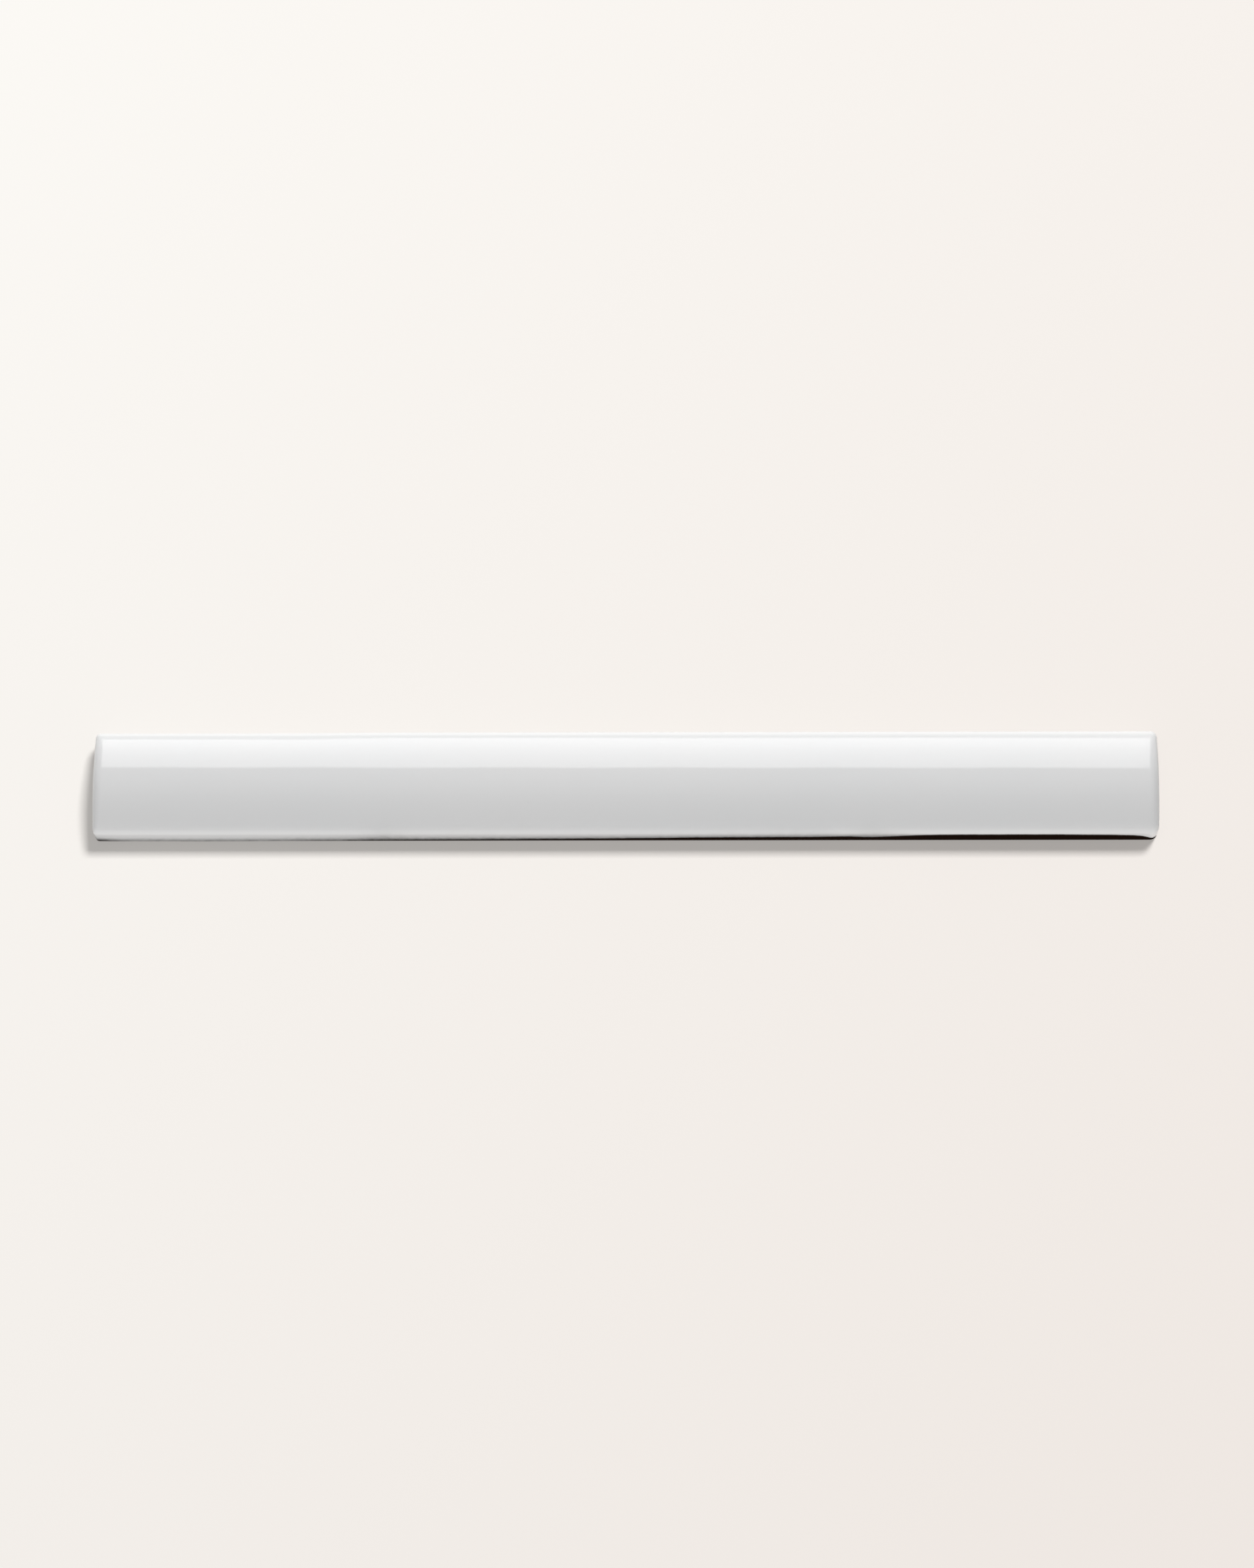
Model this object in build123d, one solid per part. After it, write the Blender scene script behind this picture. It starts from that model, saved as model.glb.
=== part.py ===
from build123d import *
from math import asin, cos, radians, tan
import os

# Glazed ceramic bead moulding: one pressed and fired piece, lying on its back.
# Millimetres. X runs along the bead, Y across it, Z up out of the back.
# The origin is the middle of the back.

# The bead as a whole
LENGTH = 200.0
WIDTH = 20.0
HEIGHT = 9.0

# Section: a shallow crown that rolls over two shoulders into upright sides
CROWN_RADIUS = 18.0
SHOULDER_RADIUS = 2.6

# Soft edges left by the die and the glaze
END_ROUND = 1.5
FOOT_BEVEL = 0.3

# Keying grooves pressed into the back for the adhesive
GROOVE_COUNT = 3
GROOVE_WIDTH = 3.0
GROOVE_PITCH = 5.4
GROOVE_DEPTH = 0.8
GROOVE_DRAFT = 20.0
GROOVE_END_LAND = 8.0


def bead_section():
    """The closed outline across the bead, in the YZ plane: back, sides, shoulders and crown."""
    half = WIDTH / 2
    shoulder_y = half - SHOULDER_RADIUS
    crown_centre_z = HEIGHT - CROWN_RADIUS
    # the shoulder is tangent to the inside of the crown and to the side
    reach = CROWN_RADIUS - SHOULDER_RADIUS
    roll = asin(shoulder_y / reach)
    shoulder_z = crown_centre_z + reach * cos(roll)
    tangent_y = CROWN_RADIUS * shoulder_y / reach
    tangent_z = crown_centre_z + CROWN_RADIUS * cos(roll)

    with BuildSketch(Plane.YZ) as section:
        with BuildLine():
            Polyline((-half, shoulder_z), (-half, 0), (half, 0), (half, shoulder_z))
            RadiusArc((half, shoulder_z), (tangent_y, tangent_z), -SHOULDER_RADIUS)
            ThreePointArc((tangent_y, tangent_z), (0, HEIGHT), (-tangent_y, tangent_z))
            RadiusArc((-tangent_y, tangent_z), (-half, shoulder_z), -SHOULDER_RADIUS)
        make_face()
    return section.sketch


def fired_blank():
    """The bead at full length, with its end arrises rolled over and its foot bevelled."""
    blank = extrude(bead_section(), LENGTH / 2, both=True)
    for end in (blank.faces().sort_by(Axis.X)[0], blank.faces().sort_by(Axis.X)[-1]):
        rolled = [edge for edge in end.edges() if edge.center().Z > FOOT_BEVEL / 2]
        blank = fillet([edge for edge in blank.edges() if edge in rolled], END_ROUND)
    back = blank.faces().sort_by(Axis.Z)[0]
    return chamfer(back.outer_wire().edges(), FOOT_BEVEL)


def keying_groove():
    """One groove on the centre line: round-ended in plan, narrowing towards its floor."""
    floor_width = GROOVE_WIDTH - 2 * GROOVE_DEPTH * tan(radians(GROOVE_DRAFT))
    length = LENGTH - 2 * GROOVE_END_LAND
    with BuildSketch() as mouth:
        SlotOverall(length, GROOVE_WIDTH)
    with BuildSketch(Plane.XY.offset(GROOVE_DEPTH)) as floor:
        SlotOverall(length - (GROOVE_WIDTH - floor_width), floor_width)
    return loft([mouth.sketch, floor.sketch])


def bead_moulding():
    """The whole piece: the rolled blank with its row of grooves cut in the back."""
    piece = fired_blank()
    groove = keying_groove()
    for number in range(GROOVE_COUNT):
        offset = (number - (GROOVE_COUNT - 1) / 2) * GROOVE_PITCH
        piece -= Pos(0, offset, 0) * groove
    return piece


os.makedirs("parts", exist_ok=True)
export_step(bead_moulding(), "parts/bead_moulding.step")
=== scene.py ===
"""Dresses the glazed ceramic bead moulding: its fired surface, its glaze, the studio and the camera.

The bead lies on its back at the origin: X runs along it, Y across it, Z up through the crown.
The near side is the -Y side, which is the lower one in the picture. The mesh is worked out in
millimetres, as are the values named _MM. All other lengths are in metres.
"""
import math

import bpy
import numpy as np
from mathutils import Matrix, Vector


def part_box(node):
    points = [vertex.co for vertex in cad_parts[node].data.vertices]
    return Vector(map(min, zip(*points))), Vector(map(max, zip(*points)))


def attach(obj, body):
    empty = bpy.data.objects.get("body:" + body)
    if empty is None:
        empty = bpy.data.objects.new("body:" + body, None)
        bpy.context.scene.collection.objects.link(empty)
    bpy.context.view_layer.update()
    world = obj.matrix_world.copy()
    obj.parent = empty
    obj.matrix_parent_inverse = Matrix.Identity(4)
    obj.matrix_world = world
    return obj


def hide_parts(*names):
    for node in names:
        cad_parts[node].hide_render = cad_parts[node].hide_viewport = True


NODE = "bead_moulding"
PIECE = "glazed_bead"
FLOOR = "studio_floor"
# Share of the clay that the glaze hides. Where it is low, the clay and the thin glaze show painted shade.
GLAZE_COVER_AND_SHADE_MASK = "glaze_cover_and_painted_shade"
MM = 0.001
QUARTER_TURN = math.pi / 2
NEAR, FAR = -1, 1
LEFT, RIGHT = -1, 1

# Section of the bead. The glazed face lies inside the solid by the inset.
CROWN_RADIUS_MM = 18.0
SHOULDER_RADIUS_MM = 2.6
FOOT_BEVEL_MM = 0.2
SKIN_INSET_MM = 0.02

# The ends roll over. Each pair is the roll's length along the bead and its depth inwards.
# A corner's roll gives way to the crown's up the section, sooner with a higher blend.
CROWN_ROLL_MM = (1.9, 1.5)
CORNER_ROLL_MM = {
    (LEFT, FAR): (0.9, 0.6),
    (RIGHT, FAR): (1.2, 1.1),
    (RIGHT, NEAR): (1.5, 1.2),
    (LEFT, NEAR): (0.7, 0.6),
}
ROLL_BLEND = 4

# The far side draws in a little towards the left end: the amount, and where it starts and is complete
DRAW_IN_MM = 0.1
DRAW_IN_SPAN_MM = (-44.0, -64.0)

# Keying grooves in the back
GROOVE_CENTRES_MM = (-5.4, 0.0, 5.4)
GROOVE_WIDTH_MM = 3.0
GROOVE_DEPTH_MM = 0.8
GROOVE_DRAFT = math.radians(20.0)
GROOVE_END_LAND_MM = 8.0

# Glaze: how far it stands proud of the bare clay, and the fat lip along its lower edge
GLAZE_THICKNESS_MM = 0.06
LIP_HEIGHT_MM = 0.35
LIP_SWELL = 0.15
LEAST_MARGIN_MM = 0.08

# Glaze on the near side: place along the bead, height of the bare clay, and height over which it clears. The
# bare clay and the clearing glaze make the dark band along the near foot, which is partly painted shade.
NEAR_MARGIN_AND_SHADE_MM = (
    (-99.2, 1.15, 1.4), (-97.0, 0.6, 1.4), (-94.5, 0.3, 1.4), (-80.0, 0.1, 1.5), (-68.0, 0.2, 1.6),
    (-52.0, 0.6, 1.8), (-45.4, 0.9, 2.4), (-40.0, 1.0, 1.8), (-16.0, 1.4, 1.6), (0.0, 1.7, 1.6),
    (15.0, 2.3, 1.4), (36.0, 2.5, 1.6), (41.4, 2.9, 1.1), (46.5, 2.3, 1.8), (51.3, 3.1, 1.0),
    (54.5, 3.6, 0.5), (59.5, 4.1, 0.1), (80.0, 4.15, 0.1), (90.6, 3.85, 0.1), (95.5, 3.5, 0.1),
    (97.1, 3.0, 0.1), (98.8, 1.5, 0.4),
)
CLEARING_POWER = 1.3

# Glaze on the far side: an even foot of bare clay. Across an end, it runs from one side's to the other's.
FAR_MARGIN_MM = 0.7
FAR_CLEARS_MM = 0.25

# The glaze's edge wanders: height of each ripple, its radians to the millimetre, and its start
NEAR_RIPPLES_MM = ((0.025, 0.71, 0.0), (0.015, 1.93, 1.0))
FAR_RIPPLES_MM = ((0.14, 0.23, 2.0), (0.07, 0.97, 0.0))

# Slow swells of the fired face: height, then radians to the millimetre along the bead and up its section
FACE_SWELLS_MM = ((0.010, 0.083, 0.21), (0.006, 0.190, 0.33))
SWELL_RISE_MM = 2.0

# Loops round the section along the bead, with close ones where the grooves end. The end rolls draw
# every place in, so the close ones start further out than the grooves do, by their reach.
STATION_STEP_MM = 0.8
GROOVE_END_STEP_MM = 0.1
GROOVE_END_STATIONS = 27
GROOVE_END_REACH_MM = 1.7
CLOSEST_STATIONS_MM = 0.05
ROLL_STATIONS = 16

# Columns up a side: on the bare clay above the bevel, on the glaze's lip, and even ones to the crown.
# The bevel's own column goes no higher than its share of the bare clay. The column at the glaze's edge
# and the one on the crown's centre line are numbered from 0 at the foot.
BEVEL_SHARE = 0.6
BARE_SHARES = (0.0, 0.3, 0.6, 0.9)
LIP_SHARES = (0.0, 0.18, 0.36, 0.55, 0.77, 1.0, 1.4, 1.9)
SHOULDER_COLUMNS = 20
CROWN_COLUMNS = 28
MARGIN_COLUMN = len(BARE_SHARES) + 1
CROWN_COLUMN = MARGIN_COLUMN + len(LIP_SHARES) + SHOULDER_COLUMNS + CROWN_COLUMNS - 1

# Columns across the back: one inwards from each foot, and those inwards from a groove's edge
FOOT_COLUMN_MM = 0.4
GROOVE_COLUMNS_MM = (-0.15, 0.0, 0.1, 0.2, 0.3, 0.4, 0.55, 0.7, 0.85, 1.0, 1.15, 1.3, 1.5)

# Faces that meet at more than this are shaded with an edge
SHARP_ANGLE = math.radians(38.0)


def smoothstep(t):
    """0 below 0, 1 above 1, with level ends."""
    t = min(max(t, 0.0), 1.0)
    return t * t * (3.0 - 2.0 * t)


def between(first, second, share):
    """The point at a share of the way from first to second, in every one of their numbers."""
    return tuple(a + (b - a) * share for a, b in zip(first, second))


class Section:
    """One half of the outline across the bead, measured by its length s from the foot to the crown."""

    def __init__(self, width, height):
        self.half = width / 2
        self.height = height
        self.foot = self.half - FOOT_BEVEL_MM
        reach = CROWN_RADIUS_MM - SHOULDER_RADIUS_MM
        self.shoulder_y = self.half - SHOULDER_RADIUS_MM
        self.roll = math.asin(self.shoulder_y / reach)
        self.shoulder_z = height - CROWN_RADIUS_MM + reach * math.cos(self.roll)
        self.bevel_end = FOOT_BEVEL_MM * math.sqrt(2.0)
        self.side_end = self.bevel_end + self.shoulder_z - FOOT_BEVEL_MM
        self.shoulder_end = self.side_end + SHOULDER_RADIUS_MM * (QUARTER_TURN - self.roll)
        self.crown_end = self.shoulder_end + CROWN_RADIUS_MM * self.roll

    def point(self, s, inset):
        """(distance out from the middle, height) at length s, moved inwards by inset."""
        if s <= self.bevel_end:
            share = s / self.bevel_end
            return self.foot + FOOT_BEVEL_MM * share - inset, FOOT_BEVEL_MM * share
        if s <= self.side_end:
            return self.half - inset, FOOT_BEVEL_MM + s - self.bevel_end
        if s <= self.shoulder_end:
            turn = QUARTER_TURN - (s - self.side_end) / SHOULDER_RADIUS_MM
            radius = SHOULDER_RADIUS_MM - inset
            return self.shoulder_y + radius * math.sin(turn), self.shoulder_z + radius * math.cos(turn)
        turn = (self.crown_end - s) / CROWN_RADIUS_MM
        radius = CROWN_RADIUS_MM - inset
        return radius * math.sin(turn), self.height - CROWN_RADIUS_MM + radius * math.cos(turn)

    def steepness(self, s):
        """1 on the upright side, falling to 0 on the crown's centre line."""
        return self.point(s, 0.0)[0] / self.half


def ripple(x, waves):
    """Sum at x of the waves, each with its height, pace and start."""
    return sum(height * math.sin(pace * x + start) for height, pace, start in waves)


def margin_at(side, x):
    """On one side at x: the length from the foot to the glaze, and the length over which it clears."""
    if side == FAR:
        return FAR_MARGIN_MM + ripple(x, FAR_RIPPLES_MM), FAR_CLEARS_MM
    places, heights, clearings = zip(*NEAR_MARGIN_AND_SHADE_MM)
    height = float(np.interp(x, places, heights)) + ripple(x, NEAR_RIPPLES_MM)
    return max(LEAST_MARGIN_MM, height), float(np.interp(x, places, clearings))


def column_lengths(section, margin):
    """Lengths from the foot to the crown of the columns up a side. They crowd at the glaze's lip."""
    bevel = min(section.bevel_end, margin * BEVEL_SHARE)
    bare = [0.0] + [bevel + (margin - bevel) * share for share in BARE_SHARES]
    lip = [margin + LIP_HEIGHT_MM * share for share in LIP_SHARES]
    above = np.linspace(lip[-1], section.shoulder_end, SHOULDER_COLUMNS + 1)[1:]
    crown = np.linspace(section.shoulder_end, section.crown_end, CROWN_COLUMNS + 1)[1:]
    return bare + lip + [float(s) for s in above] + [float(s) for s in crown]


def bare_depth(above):
    """Depth below the glazed face at a length above the glaze's edge.

    It is the glaze's thickness on bare clay and below 0, which is proud of the face, on the fat lip.
    """
    fat = LIP_SWELL * math.exp(-((above - LIP_HEIGHT_MM) / LIP_HEIGHT_MM) ** 2)
    return GLAZE_THICKNESS_MM * (1.0 - smoothstep(above / LIP_HEIGHT_MM) * (1.0 + fat))


def end_roll(end, side, steep):
    """Length and depth of the roll at one end: a corner's on the upright side, the crown's on top."""
    return between(CORNER_ROLL_MM[end, side], CROWN_ROLL_MM, 1.0 - steep ** ROLL_BLEND)


def swell(x, s, section):
    """Depth of the face's slow swells: none on the upright side, all of it high on the shoulder."""
    rise = smoothstep((s - section.side_end) / SWELL_RISE_MM)
    return rise * sum(h * math.sin(along * x) * math.cos(up * s) for h, along, up in FACE_SWELLS_MM)


def draw_in(x, side, steep):
    """How far the far side stands in from its line at x: all of it low down, none of it on the crown."""
    if side == NEAR:
        return 0.0
    start, complete = DRAW_IN_SPAN_MM
    return DRAW_IN_MM * smoothstep((x - start) / (complete - start)) * steep ** ROLL_BLEND


def side_column(section, half_length, side, place, turn):
    """One side's points from the foot to the crown, in one loop round the section.

    place runs from -1 to 1 along the bead, and turn from 0 to a quarter turn round an end's roll.
    Each point is (x, y, z, share of the clay that the glaze hides).
    """
    end = RIGHT if place > 0 else LEFT

    def along(roll_length):
        return place * (half_length - roll_length) + end * roll_length * math.sin(turn)

    margin, clears = margin_at(side, along(end_roll(end, side, 1.0)[0]))
    column = []
    for s in column_lengths(section, margin):
        steep = section.steepness(s)
        roll_length, roll_depth = end_roll(end, side, steep)
        x = along(roll_length)
        above = s - margin
        sunk = SKIN_INSET_MM + bare_depth(above)
        inset = roll_depth * (1.0 - math.cos(turn)) + (sunk + swell(x, s, section)) * math.cos(turn)
        out, up = section.point(s, inset + draw_in(x, side, steep))
        hides = 1.0 - math.exp(-(max(above, 0.0) / clears) ** CLEARING_POWER)
        column.append((x - end * sunk * math.sin(turn), side * out, up, hides))
    return column


def groove_depth(x, y, half_length):
    """Height of the back above the bed: 0 on the lands, the full depth inside a groove."""
    radius = GROOVE_WIDTH_MM / 2
    wall = GROOVE_DEPTH_MM * math.tan(GROOVE_DRAFT)
    straight = half_length - GROOVE_END_LAND_MM - radius
    past = max(abs(x) - straight, 0.0)
    inside = max(radius - math.hypot(past, y - centre) for centre in GROOVE_CENTRES_MM)
    return GROOVE_DEPTH_MM * smoothstep(inside / wall)


def back_shares(foot):
    """Places of the columns across the back, as shares of the way from the near foot to the far one."""
    across = {-foot, FOOT_COLUMN_MM - foot, foot - FOOT_COLUMN_MM, foot}
    for centre in GROOVE_CENTRES_MM:
        for inside in GROOVE_COLUMNS_MM:
            out = GROOVE_WIDTH_MM / 2 - inside
            across |= {centre - out, centre + out}
    return [(y + foot) / (2 * foot) for y in sorted(across)]


def back_row(near_foot, far_foot, shares, half_length):
    """The points across the back between the two feet, with the grooves let in."""
    row = []
    for share in shares[1:-1]:
        x, y, _, hides = between(near_foot, far_foot, share)
        row.append((x, y, groove_depth(x, y, half_length), hides))
    return row


def stations(half_length):
    """Places along the bead, from -1 to 1: even ones, and close ones where the grooves end."""
    steps = round(2 * half_length / STATION_STEP_MM)
    places = list(np.linspace(-half_length, half_length, steps + 1))
    outermost = half_length - GROOVE_END_LAND_MM + GROOVE_END_REACH_MM
    for step in range(GROOVE_END_STATIONS):
        close = outermost - GROOVE_END_STEP_MM * step
        places += [-close, close]
    places.sort()
    kept = places[:1]
    for place in places[1:-1]:
        if place - kept[-1] > CLOSEST_STATIONS_MM:
            kept.append(place)
    return [float(place / half_length) for place in kept] + [1.0]


class BeadMesh:
    """The whole piece as one closed mesh: loops round the section joined end to end, and two flat ends."""

    def __init__(self, low, high):
        self.half_length = (high[0] - low[0]) / MM / 2
        self.section = Section((high[1] - low[1]) / MM, (high[2] - low[2]) / MM)
        self.shares = back_shares(self.section.foot)
        self.points = []
        self.faces = []
        self.is_clay = []
        turns = [QUARTER_TURN * step / ROLL_STATIONS for step in range(1, ROLL_STATIONS + 1)]
        loops = [(float(LEFT), turn) for turn in reversed(turns)]
        loops += [(place, 0.0) for place in stations(self.half_length)]
        loops += [(float(RIGHT), turn) for turn in turns]
        for place, turn in loops:
            self.add_loop(place, turn)
        self.count = len(self.points) // len(loops)
        self.join_loops()
        self.close_end(LEFT, 0)
        self.close_end(RIGHT, self.count * (len(loops) - 1))

    def add_loop(self, place, turn):
        """Points up the near side, down the far one, and back across the bed."""
        near, far = (side_column(self.section, self.half_length, side, place, turn) for side in (NEAR, FAR))
        back = back_row(near[0], far[0], self.shares, self.half_length)
        self.points += near + far[-2::-1] + back[::-1]

    def join_loops(self):
        """Faces between each loop and the next."""
        for first in range(0, len(self.points) - self.count, self.count):
            beyond = first + self.count
            for k in range(self.count):
                after = (k + 1) % self.count
                self.faces.append((first + k, beyond + k, beyond + after, first + after))
                self.is_clay.append(k < MARGIN_COLUMN or k >= 2 * CROWN_COLUMN - MARGIN_COLUMN)

    def close_end(self, end, first):
        """Rows of faces over a flat end, whose loop starts at the point numbered first.

        The top row shrinks to one point, the crown's, so its faces lose a corner and are triangles.
        """
        far_foot = first + 2 * CROWN_COLUMN
        below = [first, *range(first + self.count - 1, far_foot, -1), far_foot]
        for k in range(1, CROWN_COLUMN + 1):
            row = self.row_across(first + k, far_foot - k)
            for m in range(len(row) - 1):
                corners = tuple(dict.fromkeys((below[m], below[m + 1], row[m + 1], row[m])))
                self.faces.append(corners if end == RIGHT else corners[::-1])
                self.is_clay.append(k <= MARGIN_COLUMN)
            below = row

    def row_across(self, near_rim, far_rim):
        """Numbers of a row of points over a flat end, between two of its rim, which meet at the crown."""
        if near_rim == far_rim:
            return [near_rim] * len(self.shares)
        ends = self.points[near_rim], self.points[far_rim]
        start = len(self.points)
        self.points += [between(*ends, share) for share in self.shares[1:-1]]
        return [near_rim, *range(start, len(self.points)), far_rim]


def bead_object(low, high):
    """The mesh as an object, smooth over its curves and sharp at the foot and the grooves."""
    built = BeadMesh(low, high)
    mesh = bpy.data.meshes.new(PIECE)
    mesh.from_pydata([(x * MM, y * MM, z * MM + low[2]) for x, y, z, _ in built.points], [], built.faces)
    attribute = mesh.attributes.new(GLAZE_COVER_AND_SHADE_MASK, "FLOAT", "POINT")
    attribute.data.foreach_set("value", [hides for *_, hides in built.points])
    mesh.materials.append(glaze_material())
    mesh.materials.append(clay_and_shade_material())
    mesh.polygons.foreach_set("material_index", [int(clay) for clay in built.is_clay])
    mesh.polygons.foreach_set("use_smooth", [True] * len(mesh.polygons))
    mesh.set_sharp_from_angle(angle=SHARP_ANGLE)
    mesh.validate()
    mesh.update()
    bead = bpy.data.objects.new(PIECE, mesh)
    bpy.context.scene.collection.objects.link(bead)
    return bead


class Nodes:
    """Short calls for making and joining a material's nodes."""

    def __init__(self, tree):
        self.tree = tree

    def add(self, kind, **settings):
        node = self.tree.nodes.new(kind)
        for name, value in settings.items():
            setattr(node, name, value)
        return node

    def link(self, source, target):
        self.tree.links.new(source, target)

    def attribute(self, name):
        return self.add("ShaderNodeAttribute", attribute_name=name).outputs["Fac"]

    def noise(self, where, scale, detail=3.0, roughness=0.5):
        node = self.add("ShaderNodeTexNoise")
        node.inputs["Scale"].default_value = scale
        node.inputs["Detail"].default_value = detail
        node.inputs["Roughness"].default_value = roughness
        self.link(where, node.inputs["Vector"])
        return node.outputs["Fac"]

    def dots(self, where, scale, radius, chance):
        """Round spots, 1 in the middle and 0 outside, in a few of a cell pattern's cells."""
        node = self.add("ShaderNodeTexVoronoi")
        node.inputs["Scale"].default_value = scale
        self.link(where, node.inputs["Vector"])
        spot = self.span(node.outputs["Distance"], radius * scale, 0.0)
        draw = self.add("ShaderNodeSeparateColor")
        self.link(node.outputs["Color"], draw.inputs["Color"])
        chosen = self.maths("LESS_THAN", draw.outputs["Red"], chance)
        return self.maths("MULTIPLY", spot, chosen)

    def ramp(self, value, low, high):
        """Colour ramp from one (place, colour) to another."""
        node = self.add("ShaderNodeValToRGB")
        for element, (place, colour) in zip(node.color_ramp.elements, (low, high)):
            element.position = place
            element.color = (*colour, 1.0)
        self.link(value, node.inputs["Fac"])
        return node.outputs["Color"]

    def span(self, value, low, high, to_low=0.0, to_high=1.0):
        """value carried from low..high to to_low..to_high, and held there."""
        node = self.add("ShaderNodeMapRange")
        for name, number in (("From Min", low), ("From Max", high), ("To Min", to_low), ("To Max", to_high)):
            node.inputs[name].default_value = number
        self.link(value, node.inputs["Value"])
        return node.outputs["Result"]

    def maths(self, operation, first, second):
        """first and second put together by an operation. Either may be a plain number."""
        node = self.add("ShaderNodeMath", operation=operation)
        for socket, value in zip(node.inputs, (first, second)):
            if isinstance(value, (int, float)):
                socket.default_value = value
            else:
                self.link(value, socket)
        return node.outputs["Value"]

    def mix(self, share, first, second):
        """Colour mix: first at share 0, second at share 1. Either may be a plain colour."""
        node = self.add("ShaderNodeMix", data_type="RGBA")
        colours = [socket for socket in node.inputs if socket.type == "RGBA"]
        self.link(share, node.inputs["Factor"])
        for socket, value in zip(colours, (first, second)):
            if isinstance(value, tuple):
                socket.default_value = (*value, 1.0)
            else:
                self.link(value, socket)
        return next(socket for socket in node.outputs if socket.type == "RGBA")

    def bump(self, height, distance, normal=None):
        """Relief whose full range of height is the given distance, in metres."""
        node = self.add("ShaderNodeBump")
        node.inputs["Distance"].default_value = distance
        self.link(height, node.inputs["Height"])
        if normal is not None:
            self.link(normal, node.inputs["Normal"])
        return node.outputs["Normal"]


def new_material(name):
    """A material with its nodes, its main shader and the place on the object, in metres."""
    material = bpy.data.materials.new(name)
    material.use_nodes = True
    nodes = Nodes(material.node_tree)
    where = nodes.add("ShaderNodeTexCoord").outputs["Object"]
    return material, nodes, material.node_tree.nodes["Principled BSDF"], where


# Glaze
GLAZE_WHITE = (0.86, 0.86, 0.86)
GLAZE_COOL = (0.852, 0.856, 0.858)
GLAZE_SPECK = (0.45, 0.42, 0.39)
# Painted shade: where the glaze runs out it shows the clay under it, darkened further to the shade along the
# near foot.
UNDER_GLAZE_AND_SHADE = (0.016, 0.012, 0.009)
GLAZE_ROUGHNESS = (0.025, 0.045)
GLAZE_SHEEN_LEVEL = 0.5
GLAZE_IOR = 1.5
DRY_ROUGHNESS = 0.4

# Patterns in the glaze. Scales are cells to the metre, radii and depths are in metres. A span is the
# range that is taken of a pattern, then the range that it is carried to, which is 0 to 1 where unsaid.
CLOUDS = dict(scale=45.0)
CLOUD_SPAN = (0.35, 0.65)
SPECKS = dict(scale=260.0, radius=0.00022, chance=0.03)
SPECK_STRENGTH = 0.35
STREAKS = dict(scale=700.0, detail=4.0)
STREAK_SPAN = (0.3, 0.7, -0.08, 0.08)
STREAKS_GROW = (1.0, 0.6)
PEEL = dict(scale=320.0, detail=2.0)
PEEL_DEPTH = 0.000004
PINHOLES = dict(scale=330.0, radius=0.00018, chance=0.03)
PINHOLE_DEPTH = 0.00008


def glaze_material():
    """White gloss glaze, which is thin, dry and streaky where it runs out over the clay, and dark there with
    the clay showing through and with painted shade.
    """
    material, nodes, surface, where = new_material("white_gloss_glaze")
    cloud = nodes.noise(where, **CLOUDS)
    white = nodes.mix(nodes.span(cloud, *CLOUD_SPAN), GLAZE_WHITE, GLAZE_COOL)
    specks = nodes.dots(where, **SPECKS)
    white = nodes.mix(nodes.maths("MULTIPLY", specks, SPECK_STRENGTH), white, GLAZE_SPECK)
    even = nodes.attribute(GLAZE_COVER_AND_SHADE_MASK)
    streaks = nodes.span(nodes.noise(where, **STREAKS), *STREAK_SPAN)
    streaks = nodes.maths("MULTIPLY", streaks, nodes.span(even, *STREAKS_GROW))
    hides = nodes.maths("ADD", even, streaks)
    # Painted shade: the thin glaze fades to the dark clay-and-shade colour.
    nodes.link(nodes.mix(hides, UNDER_GLAZE_AND_SHADE, white), surface.inputs["Base Color"])
    gloss = nodes.span(cloud, *CLOUD_SPAN, *GLAZE_ROUGHNESS)
    dry = nodes.span(hides, 0.0, 1.0, DRY_ROUGHNESS, 0.0)
    nodes.link(nodes.maths("ADD", gloss, dry), surface.inputs["Roughness"])
    nodes.link(nodes.span(hides, 0.0, 1.0, 0.0, GLAZE_SHEEN_LEVEL), surface.inputs["Specular IOR Level"])
    surface.inputs["IOR"].default_value = GLAZE_IOR
    peel = nodes.bump(nodes.noise(where, **PEEL), PEEL_DEPTH)
    pinholes = nodes.maths("MULTIPLY", nodes.dots(where, **PINHOLES), -1.0)
    nodes.link(nodes.bump(pinholes, PINHOLE_DEPTH, peel), surface.inputs["Normal"])
    return material


# Clay. Its colours are the clay's own dark brown, darkened further with painted shade, as the bare foot on
# the near side lies in shade.
CLAY_DARK_AND_SHADE = (0.0045, 0.0018, 0.001)
CLAY_BROWN_AND_SHADE = (0.014, 0.0062, 0.0038)
CLAY_DUST = (0.2, 0.155, 0.125)
CLAY_SHEEN_LEVEL = 0.01
CLAY_ROUGHNESS = (0.78, 0.95)

# Patterns in the clay, measured as those in the glaze. Dust lies where the clay faces down: none where
# its normal's height is above the first of the facings, and all of it below the second.
GRAIN = dict(scale=2600.0, detail=5.0, roughness=0.65)
GRAIN_DARK, GRAIN_LIGHT = 0.35, 0.7
GRAIN_DEPTH = 0.00005
PITS = dict(scale=900.0, radius=0.0003, chance=0.25)
PIT_DEPTH = 0.00025
DUST = dict(scale=120.0, detail=4.0)
DUST_SPAN = (0.45, 0.7, 0.1, 0.55)
DUST_FACING = (-0.6, -0.9)


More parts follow.
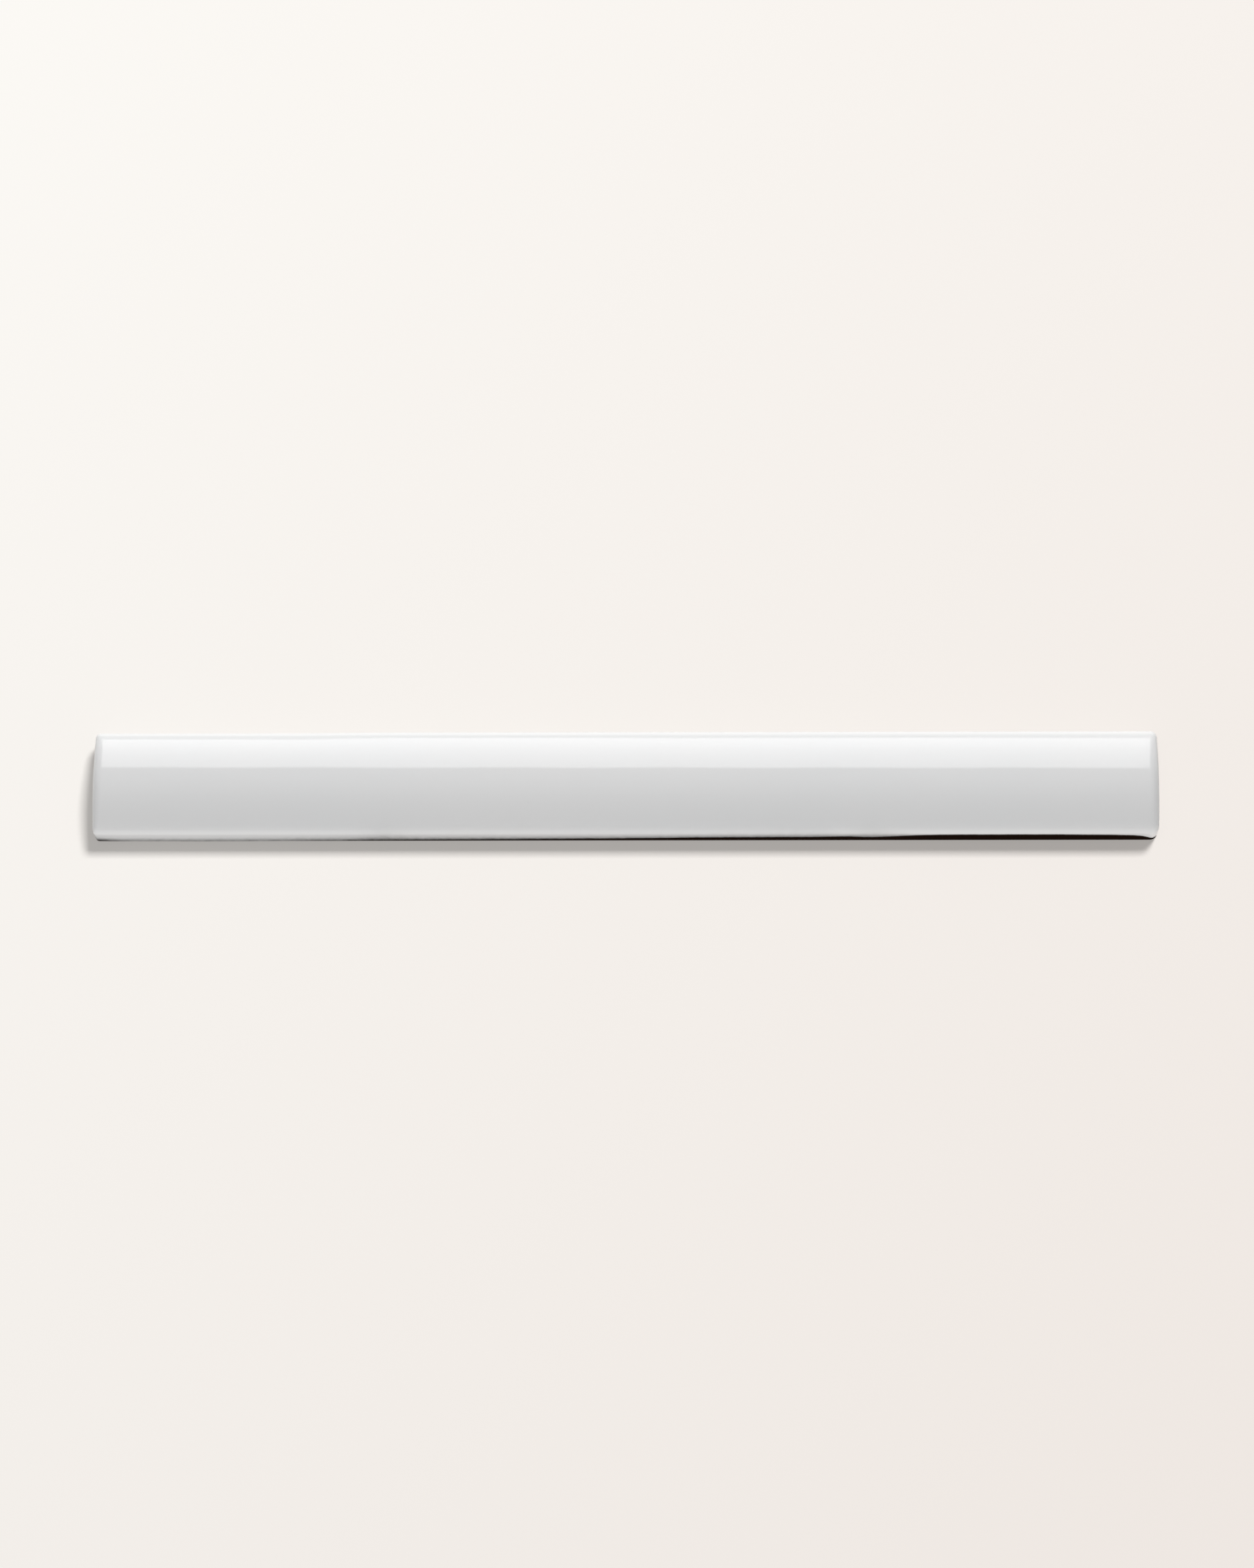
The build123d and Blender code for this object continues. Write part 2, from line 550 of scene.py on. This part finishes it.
def clay_and_shade_material():
    """Dark brown fired clay, darkened further with painted shade: grainy and pitted, with pale dust on the
    back.
    """
    material, nodes, surface, where = new_material("dark_fired_clay_and_painted_shade")
    grain = nodes.noise(where, **GRAIN)
    # Painted shade: both grain colours are the clay darkened to the shade along the near foot.
    clay = nodes.ramp(grain, (GRAIN_DARK, CLAY_DARK_AND_SHADE), (GRAIN_LIGHT, CLAY_BROWN_AND_SHADE))
    normal = nodes.add("ShaderNodeNewGeometry").outputs["Normal"]
    split = nodes.add("ShaderNodeSeparateXYZ")
    nodes.link(normal, split.inputs["Vector"])
    downward = nodes.span(split.outputs["Z"], *DUST_FACING)
    patch = nodes.span(nodes.noise(where, **DUST), *DUST_SPAN)
    clay = nodes.mix(nodes.maths("MULTIPLY", patch, downward), clay, CLAY_DUST)
    nodes.link(clay, surface.inputs["Base Color"])
    nodes.link(nodes.span(grain, GRAIN_DARK, GRAIN_LIGHT, *CLAY_ROUGHNESS), surface.inputs["Roughness"])
    surface.inputs["Specular IOR Level"].default_value = CLAY_SHEEN_LEVEL
    grained = nodes.bump(grain, GRAIN_DEPTH)
    pits = nodes.maths("MULTIPLY", nodes.dots(where, **PITS), -1.0)
    nodes.link(nodes.bump(pits, PIT_DEPTH, grained), surface.inputs["Normal"])
    return material


# Floor, a hair below the bead. Its colour goes from warm to shade along the slope's direction, over
# the reach to each side of the origin. The glow is for rays that see the floor, and lights nothing.
FLOOR_DROP = 0.00005
FLOOR_SIZE = 12.0
FLOOR_ALBEDO = 0.15
FLOOR_ALBEDO_UNSEEN = 0.075
FLOOR_GLOW = 0.412
FLOOR_WARM = (0.965, 0.942, 0.905)
FLOOR_SHADE = (0.862, 0.804, 0.762)
FLOOR_SLOPE = (0.885, -0.515, 0.0)
FLOOR_SLOPE_REACH = 0.19


def dimmed(colour, share):
    """A share of a colour."""
    return tuple(share * part for part in colour)


def seen_directly(nodes):
    """1 for a camera, glossy or glass ray, which shows the surface, and 0 for one that gathers light."""
    path = nodes.add("ShaderNodeLightPath").outputs
    either = nodes.maths("MAXIMUM", path["Is Camera Ray"], path["Is Glossy Ray"])
    return nodes.maths("MAXIMUM", either, path["Is Transmission Ray"])


def floor_material():
    """Warm pale floor, a little darker towards the lower right of the picture, that keeps its shadows.

    It shows itself in full but sends less light back up, as the bead has lamps of its own.
    """
    material, nodes, surface, where = new_material("pale_floor")
    slope = nodes.add("ShaderNodeVectorMath", operation="DOT_PRODUCT")
    slope.inputs[1].default_value = FLOOR_SLOPE
    nodes.link(where, slope.inputs[0])
    tone = nodes.span(slope.outputs["Value"], -FLOOR_SLOPE_REACH, FLOOR_SLOPE_REACH)
    unseen, shown = (
        nodes.mix(tone, dimmed(FLOOR_WARM, albedo), dimmed(FLOOR_SHADE, albedo))
        for albedo in (FLOOR_ALBEDO_UNSEEN, FLOOR_ALBEDO)
    )
    seen = seen_directly(nodes)
    nodes.link(nodes.mix(seen, unseen, shown), surface.inputs["Base Color"])
    surface.inputs["Roughness"].default_value = 1.0
    surface.inputs["Specular IOR Level"].default_value = 0.0
    glow = nodes.add("ShaderNodeEmission")
    nodes.link(nodes.mix(tone, FLOOR_WARM, FLOOR_SHADE), glow.inputs["Color"])
    nodes.link(nodes.maths("MULTIPLY", seen, FLOOR_GLOW), glow.inputs["Strength"])
    both = nodes.add("ShaderNodeAddShader")
    nodes.link(surface.outputs["BSDF"], both.inputs[0])
    nodes.link(glow.outputs["Emission"], both.inputs[1])
    nodes.link(both.outputs["Shader"], material.node_tree.nodes["Material Output"].inputs["Surface"])
    return material


def studio_floor():
    """One wide, level face under the bead."""
    mesh = bpy.data.meshes.new(FLOOR)
    half = FLOOR_SIZE / 2
    corners = [(-half, -half), (half, -half), (half, half), (-half, half)]
    mesh.from_pydata([(x, y, -FLOOR_DROP) for x, y in corners], [], [(0, 1, 2, 3)])
    floor = bpy.data.objects.new(FLOOR, mesh)
    bpy.context.scene.collection.objects.link(floor)
    mesh.materials.append(floor_material())
    return floor


WORLD_COLOUR = (1.0, 1.0, 1.0)
WORLD_LIGHT = 0.3


def studio_world():
    """Even, weak light from all round."""
    world = bpy.data.worlds.new("studio_world")
    world.use_nodes = True
    all_round = world.node_tree.nodes["Background"]
    all_round.inputs["Color"].default_value = (*WORLD_COLOUR, 1.0)
    all_round.inputs["Strength"].default_value = WORLD_LIGHT
    bpy.context.scene.world = world


def facing(right, up, back):
    """The turn of a lamp or a camera from the three directions of its own axes."""
    return Matrix((right, up, back)).transposed()


# Lamps. Lean is in degrees from the vertical, towards +Y and +X. Size is across and along the bead.
# Twist is in degrees on the lamp's own axis. A brightness of 1 is white. The gloss shows the softbox only.
# The photograph sets the bead on its ground with a soft shadow of its own: the ground lamp throws that one.
BEAD_LAMPS = {
    "softbox": dict(lean=(49.3, 0.0), distance=0.9, size=(0.7, 0.62), bright=2.72, twist=-6.8, in_gloss=True),
    "back": dict(lean=(70.0, 0.0), distance=1.2, size=(0.4, 1.6), bright=4.3),
    "front": dict(lean=(-80.0, 0.0), distance=1.2, size=(0.4, 1.6), bright=4.45),
}
GROUND_LAMPS = {
    "ground": dict(lean=(26.0, 18.6), distance=6.0, size=(1.4, 1.4), bright=246.0),
}
LAMPS_AIM = Vector((0.0, 0.0, 0.006))
ALONG_BEAD = Vector((1.0, 0.0, 0.0))


def lamp(name, receivers, lean, distance, size, bright, twist=0.0, in_gloss=False):
    """A soft rectangular lamp that faces the bead and lights only the collection of its receivers."""
    towards_y, towards_x = (math.tan(math.radians(angle)) for angle in lean)
    back = Vector((towards_x, towards_y, 1.0)).normalized()
    across, along = size
    data = bpy.data.lights.new(name, "AREA")
    data.shape = "RECTANGLE"
    data.size = along
    data.size_y = across
    data.energy = bright * math.pi * along * across
    light = bpy.data.objects.new(name, data)
    light.location = LAMPS_AIM + back * distance
    light.rotation_mode = "QUATERNION"
    level = back.cross(ALONG_BEAD).normalized()
    turn = math.radians(twist)
    right = level.cross(back) * math.cos(turn) + level * math.sin(turn)
    light.rotation_quaternion = facing(right, back.cross(right), back).to_quaternion()
    light.visible_glossy = in_gloss
    bpy.context.scene.collection.objects.link(light)
    light.light_linking.receiver_collection = receivers


def studio_lamps(lamps, lit):
    """The named lamps, lighting nothing but one object."""
    alone = bpy.data.collections.new(lit.name + "_alone")
    alone.objects.link(lit)
    for name, settings in lamps.items():
        lamp(name, alone, **settings)


# Camera, fitted to the photograph's outline of the bead
CAMERA_AT = Vector((0.0216, -0.24763, 0.85636))
CAMERA_AIM = Vector((0.000378, 0.000043, 0.004))
CAMERA_ROLL = math.radians(0.311)
CAMERA_LENS_MM = 108.33
SENSOR_MM = 36.0
CAMERA_CLIP = (0.01, 50.0)
ACROSS_BEAD = Vector((0.0, 1.0, 0.0))


def studio_camera():
    """The camera, aimed at the bead and then rolled a little on its own axis."""
    data = bpy.data.cameras.new("camera")
    data.sensor_width = SENSOR_MM
    data.lens = CAMERA_LENS_MM
    data.clip_start, data.clip_end = CAMERA_CLIP
    camera = bpy.data.objects.new("camera", data)
    back = (CAMERA_AT - CAMERA_AIM).normalized()
    level = ACROSS_BEAD.cross(back).normalized()
    right = level * math.cos(CAMERA_ROLL) + back.cross(level) * math.sin(CAMERA_ROLL)
    turned = facing(right, back.cross(right), back).to_4x4()
    camera.matrix_world = Matrix.Translation(CAMERA_AT) @ turned
    bpy.context.scene.collection.objects.link(camera)
    bpy.context.scene.camera = camera


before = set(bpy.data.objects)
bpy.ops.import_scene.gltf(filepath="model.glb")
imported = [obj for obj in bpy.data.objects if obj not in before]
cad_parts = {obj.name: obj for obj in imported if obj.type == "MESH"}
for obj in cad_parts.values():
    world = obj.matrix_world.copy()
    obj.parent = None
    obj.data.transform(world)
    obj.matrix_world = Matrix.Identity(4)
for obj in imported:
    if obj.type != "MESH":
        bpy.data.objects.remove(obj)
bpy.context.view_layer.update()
bpy.context.scene.view_settings.view_transform = "Standard"

bead = bead_object(*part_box(NODE))
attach(bead, "root")
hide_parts(NODE)

floor = studio_floor()
studio_world()
studio_lamps(BEAD_LAMPS, bead)
studio_lamps(GROUND_LAMPS, floor)
studio_camera()
